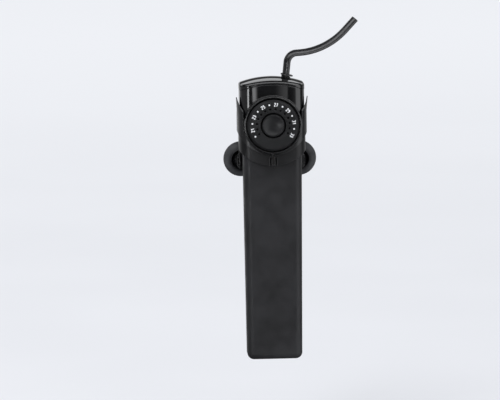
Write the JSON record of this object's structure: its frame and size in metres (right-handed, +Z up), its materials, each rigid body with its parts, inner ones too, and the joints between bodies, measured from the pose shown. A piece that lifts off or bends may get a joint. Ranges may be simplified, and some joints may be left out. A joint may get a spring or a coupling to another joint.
{
  "type": "submersible aquarium heater",
  "caption": "Flat submersible aquarium heater with a turning temperature dial, in a clip-on holder with suction cups; it lifts out of the holder.",
  "frame": {"origin": "centre of the flat bottom end of the heater's sleeve", "axes": "+Z up along the heater, +X to the right seen from the dial side, the dial faces -Y, the suction cups face +Y"},
  "size_m": [0.0954, 0.0486, 0.2403],
  "materials": {
    "sleeve_black": "fine spark-eroded matt",
    "head_black": "gloss",
    "dial_black": "satin with a bevelled edge",
    "print_white": "tampo print",
    "lens_smoke": "smoked, polished",
    "holder_black": "satin",
    "cup_rubber": "smooth soft, slightly dusty",
    "gland_rubber": "smooth",
    "cord_black": "smooth satin sheath",
    "core_brown": "insulation",
    "core_blue": "insulation",
    "seal_silicone": "soft silicone",
    "board_green": "solder resist",
    "steel": "bright",
    "brass": "turned",
    "component_black": "moulded",
    "capacitor_sleeve": "shrink sleeve",
    "terminal_grey": "moulded",
    "led_red": "clear coloured",
    "mica": "flaky sheet",
    "ceramic": "unglazed",
    "aluminium": "extruded",
    "wire_red": "silicone insulation"
  },
  "bodies": {
    "holder": {"holder_clip": "holder_black"},
    "heater": {"heater_sleeve": "sleeve_black", "sleeve_gasket": "seal_silicone", "head_housing": "head_black", "indicator_lens": "lens_smoke", "top_cap": "head_black", "cap_gasket": "seal_silicone", "power_cord": "cord_black", "core_brown": "core_brown", "core_blue": "core_blue", "cord_gland": "gland_rubber", "cord_clamp": "component_black", "clamp_screws": "steel", "potentiometer_body": "component_black", "control_board": "board_green", "board_screws": "steel", "triac": "component_black", "capacitor": "capacitor_sleeve", "controller_chip": "component_black", "status_led": "led_red", "terminal_block": "terminal_grey", "terminal_screws": "brass", "temperature_sensor": "steel", "sensor_leads": "wire_red", "element_core": "ceramic", "heating_ribbon": "steel", "insulation_front": "mica", "insulation_rear": "mica", "heat_spreader_front": "aluminium", "heat_spreader_rear": "aluminium", "stack_rivets": "aluminium", "thermal_cutout": "steel", "foot_spacer": "seal_silicone", "lead_wires": "wire_red"},
    "dial": {"dial": "dial_black", "dial_marks": "print_white", "dial_shaft": "component_black", "shaft_seal": "gland_rubber", "shaft_clip": "steel", "potentiometer_rotor": "terminal_grey"},
    "left_cup": {"suction_cup_left": "cup_rubber"},
    "right_cup": {"suction_cup_right": "cup_rubber"}
  },
  "joints": [
    {"name": "heater_lift", "type": "slide", "parent": "holder", "child": "heater", "axis": [0, 0, 1], "range_m": [0, 0.15]},
    {"name": "dial_turn", "type": "hinge", "parent": "heater", "child": "dial", "pos_m": [0, -0.016, 0.1683], "axis": [0, -1, 0], "range_deg": [0, 300]},
    {"name": "cup_left_turn", "type": "hinge", "parent": "holder", "child": "left_cup", "pos_m": [-0.0205, 0.017, 0.1389], "axis": [0, 1, 0], "continuous": true},
    {"name": "cup_right_turn", "type": "hinge", "parent": "holder", "child": "right_cup", "pos_m": [0.0205, 0.017, 0.1389], "axis": [0, 1, 0], "continuous": true}
  ]
}
